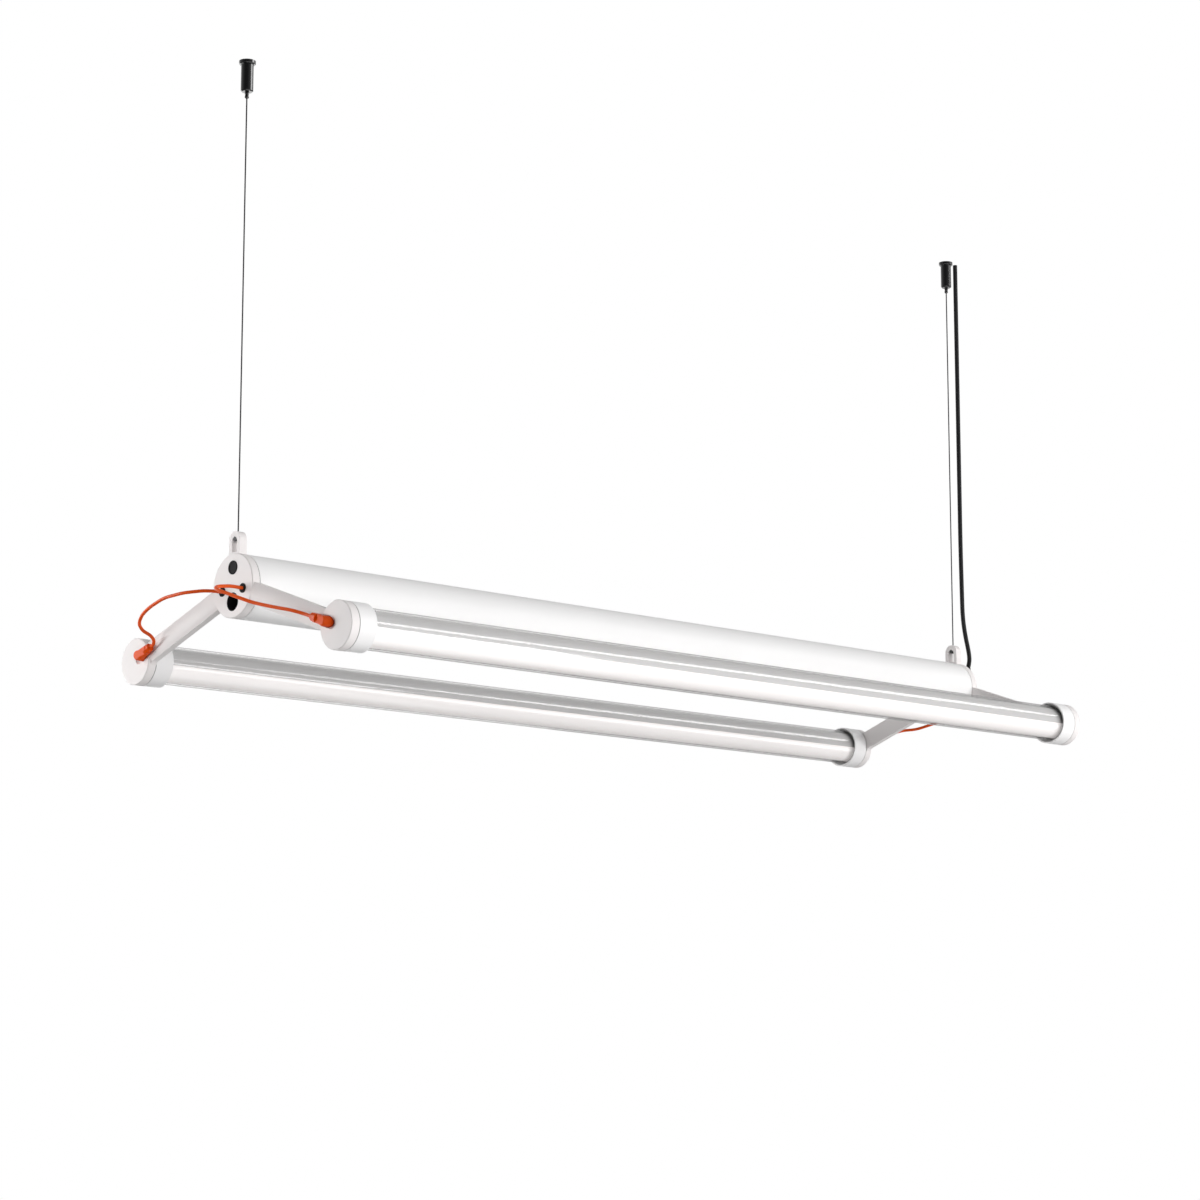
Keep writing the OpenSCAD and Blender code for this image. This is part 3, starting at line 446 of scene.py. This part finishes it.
for side_name, side in SIDES.items():
    tube_low, tube_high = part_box("main_tube")
    tube_end = (tube_low if side < 0 else tube_high)[0]
    tube_r = (tube_high[1] - tube_low[1]) / 2
    joint_gasket_and_shade(f"{side_name}_hub_gasket_and_shade", tube_end, side, (0, -HANG_H * MM), tube_r)
    for row_name, row in ROWS.items():
        low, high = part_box(f"{side_name}_{row_name}_collar")
        joint_gasket_and_shade(f"{side_name}_{row_name}_gasket_and_shade", (low if side < 0 else high)[0], -side,
                     ((low[1] + high[1]) / 2, (low[2] + high[2]) / 2), (high[1] - low[1]) / 2)

# ---------------------------------------------------------------- springs of the ceiling grips

SPRING_WIRE_R = 0.00045
SPRING_TURNS = 3
SPRING_STEPS = 48
WIRE_FACETS = 12


def coil_spring(name, centre, side, radius, top, bottom):
    """Round wire in an even helix between two heights, with flat cut ends."""
    data = bpy.data.meshes.new(name)
    shape = bmesh.new()
    high, low = top - SPRING_WIRE_R, bottom + SPRING_WIRE_R
    steps = SPRING_TURNS * SPRING_STEPS
    turn = 2 * math.pi * SPRING_TURNS
    facets = [2 * math.pi * k / WIRE_FACETS for k in range(WIRE_FACETS)]
    rings = []
    for i in range(steps + 1):
        share = i / steps
        angle = turn * share
        out = Vector((side * math.cos(angle), math.sin(angle), 0))
        along = Vector((-side * math.sin(angle) * radius * turn, math.cos(angle) * radius * turn,
                        low - high)).normalized()
        up = out.cross(along)
        middle = Vector((*centre, high + (low - high) * share)) + out * radius
        rings.append([shape.verts.new(middle + SPRING_WIRE_R * (
            out * math.cos(facet) + up * math.sin(facet))) for facet in facets])
    for a, b in zip(rings, rings[1:]):
        for k in range(WIRE_FACETS):
            m = (k + 1) % WIRE_FACETS
            shape.faces.new((a[k], a[m], b[m], b[k]))
    shape.faces.new(rings[0])
    shape.faces.new(rings[-1])
    bmesh.ops.recalc_face_normals(shape, faces=shape.faces)
    shape.to_mesh(data)
    shape.free()
    data.polygons.foreach_set("use_smooth", [len(p.vertices) == 4 for p in data.polygons])
    data.materials.append(FINISHES["spring_steel"])
    made = bpy.data.objects.new(name, data)
    scene.collection.objects.link(made)
    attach(made, "ceiling_grips")
    return made


for side_name, side in SIDES.items():
    low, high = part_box(f"{side_name}_grip_spring")
    barrel_low, barrel_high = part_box(f"{side_name}_gripper_barrel")
    centre = ((barrel_low[0] + barrel_high[0]) / 2, 0)
    spring_r = (high[1] - low[1]) / 2 - SPRING_WIRE_R
    spring = coil_spring(f"{side_name}_spring_coil", centre, side, spring_r, high[2], low[2])
    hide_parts(f"{side_name}_grip_spring")
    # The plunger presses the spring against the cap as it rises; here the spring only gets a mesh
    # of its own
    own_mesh(spring)

# ---------------------------------------------------------------- studio

# Metres, and the floor's own light to the camera
FLOOR_HALF = 5.0
FLOOR_Z = -2.6
FLOOR_LIFT = 0.7
LAMP_MIDDLE = (0, 0, -0.62)


def studio_world():
    """White to the camera and through clear plastic. Light and reflections get soft gradients."""
    world = bpy.data.worlds.new("studio")
    world.use_nodes = True
    tree = world.node_tree
    base = tree.nodes["Background"]
    base.inputs["Strength"].default_value = 1.0
    seen = node_of(tree, "ShaderNodeBackground", Color=(1, 1, 1, 1), Strength=1.0)
    mirrored = node_of(tree, "ShaderNodeBackground", Strength=1.0)
    place = node_of(tree, "ShaderNodeTexCoord")
    # Each brightens along an axis: the range along it, then the values at the range's ends
    for into, axis, low, high, dark, light in (
            (base, (0.1, -0.98, -0.15), -0.15, 1.0, 0.1, 0.62),
            (mirrored, (0.74, 0.55, 0.2), -0.75, 0.75, 0.06, 1.0)):
        along = node_of(tree, "ShaderNodeVectorMath", operation="DOT_PRODUCT")
        along.inputs[1].default_value = axis
        tree.links.new(place.outputs["Generated"], along.inputs[0])
        value = ranged(tree, along.outputs["Value"], dark, light, low, high)
        tree.links.new(value, into.inputs["Color"])
    path = node_of(tree, "ShaderNodeLightPath")
    through = node_of(tree, "ShaderNodeMath", operation="MAXIMUM")
    tree.links.new(path.outputs["Is Camera Ray"], through.inputs[0])
    tree.links.new(path.outputs["Is Transmission Ray"], through.inputs[1])
    shown = base.outputs["Background"]
    for share, background in ((path.outputs["Is Glossy Ray"], mirrored),
                              (through.outputs["Value"], seen)):
        mixed = node_of(tree, "ShaderNodeMixShader")
        tree.links.new(share, mixed.inputs["Fac"])
        tree.links.new(shown, mixed.inputs[1])
        tree.links.new(background.outputs["Background"], mixed.inputs[2])
        shown = mixed.outputs["Shader"]
    tree.links.new(shown, tree.nodes["World Output"].inputs["Surface"])
    scene.world = world


def soft_lamp(name, at, aim, width, height, watts):
    """A rectangular studio lamp that the camera doesn't see."""
    data = bpy.data.lights.new(name, "AREA")
    data.shape = "RECTANGLE"
    data.size = width
    data.size_y = height
    data.energy = watts
    made = bpy.data.objects.new(name, data)
    scene.collection.objects.link(made)
    made.visible_camera = False
    made.location = at
    made.rotation_mode = "QUATERNION"
    made.rotation_quaternion = (Vector(aim) - Vector(at)).to_track_quat("-Z", "Y")


def pale_floor():
    """Floor that is seen from above only, so that a view from below looks through it."""
    data = bpy.data.meshes.new("floor")
    corners = [(x * FLOOR_HALF, y * FLOOR_HALF, FLOOR_Z)
               for x, y in ((-1, -1), (1, -1), (1, 1), (-1, 1))]
    data.from_pydata(corners, [], [(0, 1, 2, 3)])
    made = bpy.data.objects.new("floor", data)
    scene.collection.objects.link(made)
    paint = surface("floor_pale", (0.42, 0.42, 0.42), 0.7, vary=0.01, blotch=2.0, bump=0.02)
    tree = paint.node_tree
    path = node_of(tree, "ShaderNodeLightPath")
    shader = tree.nodes["Principled BSDF"]
    lift = ranged(tree, path.outputs["Is Camera Ray"], 0.0, FLOOR_LIFT)
    tree.links.new(lift, shader.inputs["Emission Strength"])
    shader.inputs["Emission Color"].default_value = (1, 1, 1, 1)
    facing = node_of(tree, "ShaderNodeNewGeometry")
    through = node_of(tree, "ShaderNodeBsdfTransparent")
    mixed = node_of(tree, "ShaderNodeMixShader")
    tree.links.new(facing.outputs["Backfacing"], mixed.inputs["Fac"])
    tree.links.new(shader.outputs["BSDF"], mixed.inputs[1])
    tree.links.new(through.outputs["BSDF"], mixed.inputs[2])
    tree.links.new(mixed.outputs["Shader"], tree.nodes["Material Output"].inputs["Surface"])
    data.materials.append(paint)


studio_world()
pale_floor()
scene.view_settings.view_transform = "Standard"
# Name, place, aim, width, height and watts
soft_lamp("long_strip", (0.6, -4.2, -0.5), (0.1, 0, -0.62), 5.0, 0.9, 108)
soft_lamp("high_strip", (3.1, -2.9, 1.5), (0, 0, -0.5), 2.6, 0.6, 30)
soft_lamp("low_strip", (3.3, -3.1, -2.0), LAMP_MIDDLE, 2.6, 0.8, 22)
soft_lamp("near_end", (-1.6, 0.9, -0.5), (-0.6, 0, -0.62), 0.8, 0.8, 14.5)
soft_lamp("from_below", (0, -0.5, -2.5), LAMP_MIDDLE, 3.0, 3.0, 20)
soft_lamp("behind", (0.6, 4.5, -0.8), LAMP_MIDDLE, 6.0, 2.6, 80)
